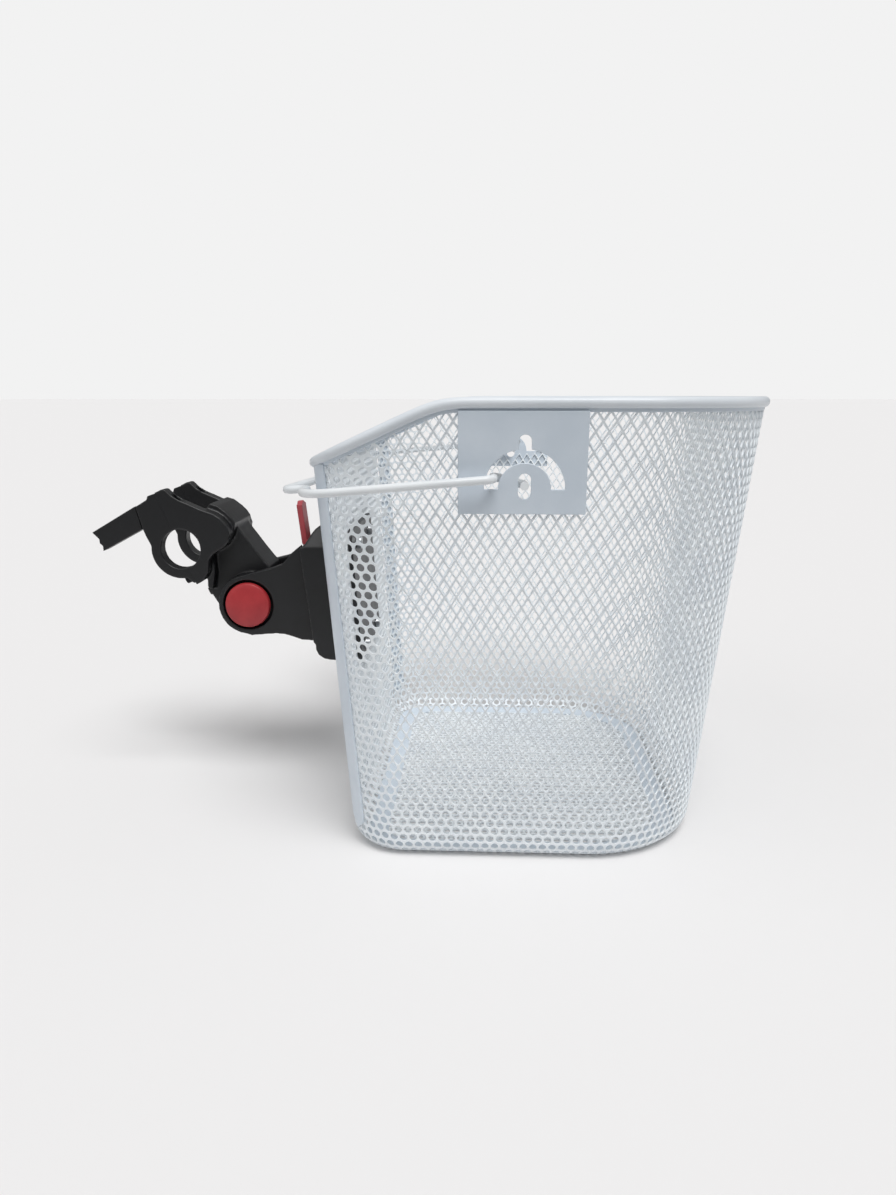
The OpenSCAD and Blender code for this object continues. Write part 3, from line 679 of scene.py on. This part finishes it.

# ---------------------------------------------------------------- red release tab and buttons
# Both are moulded in red acetal. The buttons have a satin face and a soft rim. The tab's red is
# painted a little lighter than theirs, as painted light for light shining through its thin plastic.


def moulded_red(name, light, dark, roughness):
    """Satin red: two close shades in soft patches, with a grain 0.05 mm deep."""
    material, shader, place = new_material(name)
    patches = add(material, "ShaderNodeTexNoise",
                  {"Vector": place, "Scale": 1 / (9 * MM), "Detail": 3.0}).outputs["Fac"]
    ramp = add(material, "ShaderNodeValToRGB", {"Fac": patches})
    ramp.color_ramp.elements[0].position, ramp.color_ramp.elements[0].color = 0.35, linear(dark)
    ramp.color_ramp.elements[1].position, ramp.color_ramp.elements[1].color = 0.7, linear(light)
    link(material, ramp.outputs["Color"], shader, "Base Color")
    grain = add(material, "ShaderNodeTexNoise",
                {"Vector": place, "Scale": 1 / (0.5 * MM), "Detail": 2.0}).outputs["Fac"]
    gloss = add(material, "ShaderNodeMapRange",
                {"Value": grain, "To Min": roughness - 0.05, "To Max": roughness + 0.07})
    link(material, gloss.outputs["Result"], shader, "Roughness")
    bump = add(material, "ShaderNodeBump", {"Height": grain, "Strength": 0.2, "Distance": 0.00005})
    link(material, bump.outputs["Normal"], shader, "Normal")
    shader.inputs["IOR"].default_value = 1.48
    return material


button_red = moulded_red("satin_red_acetal", "A93236", "9C2B30", roughness=0.38)
# The tab's lighter red is painted light: it stands in for light shining through the thin tab.
tab_red_painted_light = moulded_red("red_acetal_with_painted_light", "AE4A50", "A2434A", roughness=0.42)
moulded("latch_lever", "release_tab", tab_red_painted_light, "red_tab", "latch", voxel=0.4, rounds=4)
for side in ("right", "left"):
    pressed(f"button_{side}", f"button_{side}_domed", button_red, "red_button",
            f"push_button_{side}", edge_mm=0.8, segments=3)

# ---------------------------------------------------------------- fasteners and springs
# Screws, pins, washers and springs inside the bracket are zinc-plated steel, a little uneven
# and slightly blue. The clamp's bolts and nuts and the brace's screw are blackened steel.


def zinc_plate():
    """Bright plating with a fine spangle of 1.2 mm."""
    material, shader, place = new_material("zinc_plated_steel")
    spangle = add(material, "ShaderNodeTexVoronoi",
                  {"Vector": place, "Scale": 1 / (1.2 * MM)}).outputs["Distance"]
    ramp = add(material, "ShaderNodeValToRGB", {"Fac": spangle})
    ramp.color_ramp.elements[0].color = linear("B4B8BC")
    ramp.color_ramp.elements[1].color = linear("C6C8CA")
    link(material, ramp.outputs["Color"], shader, "Base Color")
    gloss = add(material, "ShaderNodeMapRange", {"Value": spangle, "To Min": 0.26, "To Max": 0.4})
    link(material, gloss.outputs["Result"], shader, "Roughness")
    shader.inputs["Metallic"].default_value = 1.0
    return material


def blackened_steel():
    """Bolts dipped in hot oxide: near black, with a faint oily sheen in patches."""
    material, shader, place = new_material("black_oxide_steel")
    patches = add(material, "ShaderNodeTexNoise",
                  {"Vector": place, "Scale": 1 / (3 * MM), "Detail": 3.0}).outputs["Fac"]
    ramp = add(material, "ShaderNodeValToRGB", {"Fac": patches})
    ramp.color_ramp.elements[0].color = linear("1E1F21")
    ramp.color_ramp.elements[1].color = linear("2C2D30")
    link(material, ramp.outputs["Color"], shader, "Base Color")
    gloss = add(material, "ShaderNodeMapRange", {"Value": patches, "To Min": 0.34, "To Max": 0.5})
    link(material, gloss.outputs["Result"], shader, "Roughness")
    shader.inputs["Metallic"].default_value = 1.0
    return material


FASTENERS = (
    (zinc_plate(), ["plate_screws", "latch_pin", "latch_spring", "tilt_axle",
                    "thrust_washer_right", "thrust_washer_left",
                    "button_spring_right", "button_spring_left"]),
    (blackened_steel(), ["bolt_upper_right", "bolt_upper_left", "bolt_lower_right",
                         "bolt_lower_left", "nut_upper_right", "nut_upper_left",
                         "nut_lower_right", "nut_lower_left", "brace_screw"]),
)
for steel, nodes in FASTENERS:
    for node in nodes:
        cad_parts[node].data.materials.clear()
        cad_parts[node].data.materials.append(steel)

# ---------------------------------------------------------------- floor and light
# A pale paper floor runs back out of sight and looks nearly as bright as the wall behind it. A
# wide soft sky fades towards the horizon. One large soft lamp stands overhead, with a weak fill.
FLOOR_SIZE = 60.0
FLOOR_NEAR = -0.5
BELOW_BASKET = 0.0002
SKY_LOW, SKY_HIGH = 0.25, 0.55
backdrop, paper, _ = new_material("pale_paper")
paper.inputs["Base Color"].default_value = linear("E5E4E4")
paper.inputs["Roughness"].default_value = 0.9
paper.inputs["Specular IOR Level"].default_value = 0.0
bpy.ops.mesh.primitive_plane_add(size=FLOOR_SIZE,
                                 location=(0, FLOOR_NEAR + FLOOR_SIZE / 2, -BELOW_BASKET))
ground = bpy.context.object
ground.name = "ground"
ground.data.materials.append(backdrop)

world = bpy.data.worlds.new("studio")
scene.world = world
world.use_nodes = True
world.node_tree.nodes.clear()
towards = add(world, "ShaderNodeTexCoord").outputs["Generated"]
upwards = add(world, "ShaderNodeSeparateXYZ", {"Vector": towards}).outputs["Z"]
fade = add(world, "ShaderNodeMapRange",
           {"Value": upwards, "To Min": SKY_LOW, "To Max": SKY_HIGH}).outputs["Result"]
light = add(world, "ShaderNodeBackground", {"Strength": fade}).outputs[0]
wall_behind = add(world, "ShaderNodeBackground", {"Color": linear("F2F2F2")}).outputs[0]
seen = add(world, "ShaderNodeLightPath").outputs["Is Camera Ray"]
either = add(world, "ShaderNodeMixShader", {0: seen, 1: light, 2: wall_behind}).outputs[0]
add(world, "ShaderNodeOutputWorld", {"Surface": either})


def sun(name, strength, spread, tilt_deg, turn_deg):
    """A far lamp: its spread in degrees makes its shadows soft."""
    lamp = bpy.data.objects.new(name, bpy.data.lights.new(name, "SUN"))
    lamp.data.energy = strength
    lamp.data.angle = math.radians(spread)
    lamp.rotation_euler = (math.radians(tilt_deg), 0, math.radians(turn_deg))
    scene.collection.objects.link(lamp)


sun("soft_lamp", strength=2.3, spread=34, tilt_deg=28, turn_deg=22)
sun("left_fill", strength=0.45, spread=60, tilt_deg=52, turn_deg=-62)
scene.view_settings.view_transform = "Standard"
